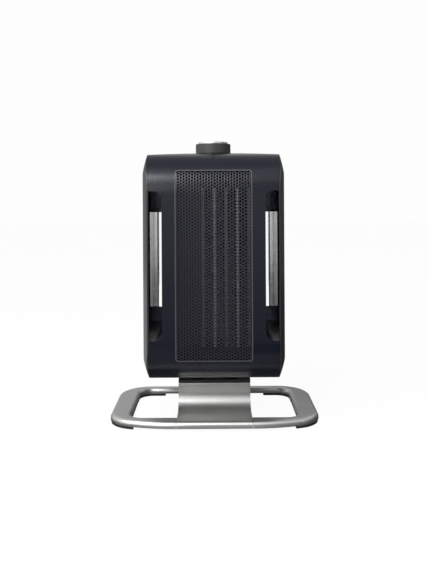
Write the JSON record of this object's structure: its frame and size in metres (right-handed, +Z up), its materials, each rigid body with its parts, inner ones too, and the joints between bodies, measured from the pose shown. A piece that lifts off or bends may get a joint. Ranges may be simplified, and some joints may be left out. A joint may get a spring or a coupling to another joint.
{
  "type": "fan heater",
  "caption": "Upright fan heater with a rolled dark head on a tilting neck, a perforated outlet over a finned element, hollow side channels, a top knob and a metal ring stand.",
  "frame": {"origin": "middle of the stand's footprint, on the floor", "axes": "+X to the right as seen from the front, +Y to the back, +Z up"},
  "size_m": [0.238, 0.15, 0.3219],
  "materials": {
    "ring_metal": "satin, finely brushed along the ring",
    "strap_metal": "satin, brushed along the bend",
    "plain_steel": "plain zinc plated",
    "foot_rubber": "matte, faintly pitted",
    "neck_plastic": "fine moulded grain",
    "front_plastic": "dark, smooth gloss",
    "side_plastic": "dark, satin gloss",
    "rear_plastic": "fine moulded grain",
    "liner_plastic": "smooth moulded",
    "trim_metal": "bright, drawn along its length",
    "frame_line": "dark metallic",
    "grille_metal": "dark baked paint",
    "intake_plastic": "moulded",
    "filter_mesh": "fine woven mesh",
    "lens_smoke": "clear smoked gloss",
    "lamp_red": "translucent red",
    "bar_metal": "bare drawn metal, faintly heat tinted",
    "fin_metal": "bare folded sheet",
    "brass_part": "plain stamped",
    "frame_plastic": "heat-proof moulding",
    "cutout_body": "moulded phenolic",
    "fuse_body": "smooth",
    "duct_plastic": "moulded",
    "fan_plastic": "moulded, smooth blades",
    "core_steel": "stacked sheets",
    "coil_copper": "enamelled copper winding",
    "switch_plastic": "moulded",
    "knob_plastic": "fine satin",
    "cap_metal": "spun bright",
    "pointer_paint": "inlaid pale line",
    "wire_sleeve": "soft insulation"
  },
  "bodies": {
    "stand": {"stand_ring": "ring_metal", "stand_strap": "strap_metal", "joiner_bar": "plain_steel", "stand_screws": "plain_steel", "foot_front_right": "foot_rubber", "foot_front_left": "foot_rubber", "foot_rear_right": "foot_rubber", "foot_rear_left": "foot_rubber", "neck_block": "neck_plastic", "neck_screws": "plain_steel"},
    "head": {"hinge_bracket": "plain_steel", "tilt_pin": "plain_steel", "friction_washers": "neck_plastic", "front_cover": "front_plastic", "rear_cover": "rear_plastic", "side_cover_right": "side_plastic", "side_cover_left": "side_plastic", "channel_liner_right": "liner_plastic", "channel_liner_left": "liner_plastic", "channel_trim_right": "trim_metal", "channel_trim_left": "trim_metal", "cover_screws": "plain_steel", "grille_frame": "frame_line", "front_grille": "grille_metal", "intake_grille": "intake_plastic", "dust_filter": "filter_mesh", "pilot_lens": "lens_smoke", "pilot_lamp": "lamp_red", "element_bars": "bar_metal", "element_fins": "fin_metal", "element_terminals": "brass_part", "element_frame": "frame_plastic", "element_screws": "plain_steel", "thermal_cutout": "cutout_body", "thermal_fuse": "fuse_body", "air_duct": "duct_plastic", "duct_lid": "duct_plastic", "top_bearing": "brass_part", "bearing_holder": "duct_plastic", "motor_bushes": "brass_part", "motor_upper_plate": "plain_steel", "motor_lower_plate": "plain_steel", "motor_stator": "core_steel", "motor_coil": "coil_copper", "motor_screws": "plain_steel", "rotary_switch": "switch_plastic", "switch_nut": "plain_steel", "tip_switch_frame": "switch_plastic", "tip_pivot_pin": "plain_steel", "terminal_block": "switch_plastic", "cord_gland": "foot_rubber", "internal_wires": "wire_sleeve"},
    "fan": {"fan_impeller": "fan_plastic", "fan_shaft": "plain_steel", "motor_rotor": "core_steel"},
    "knob": {"control_knob": "knob_plastic", "knob_cap": "cap_metal", "knob_pointer": "pointer_paint", "switch_spindle": "plain_steel"},
    "pendulum": {"tip_pendulum": "brass_part"}
  },
  "joints": [
    {"name": "head_tilt", "type": "hinge", "parent": "stand", "child": "head", "pos_m": [0, 0, 0.052], "axis": [1, 0, 0], "range_deg": [-8, 8]},
    {"name": "knob_turn", "type": "hinge", "parent": "head", "child": "knob", "pos_m": [0, 0.006, 0.31], "axis": [0, 0, 1], "range_deg": [-270, 0]},
    {"name": "fan_spin", "type": "hinge", "parent": "head", "child": "fan", "pos_m": [-0.008, 0.018, 0.17], "axis": [0, 0, 1], "continuous": true},
    {"name": "pendulum_swing", "type": "hinge", "parent": "head", "child": "pendulum", "pos_m": [0.055, 0.002, 0.07126], "axis": [1, 0, 0], "range_deg": [-12, 12]}
  ]
}
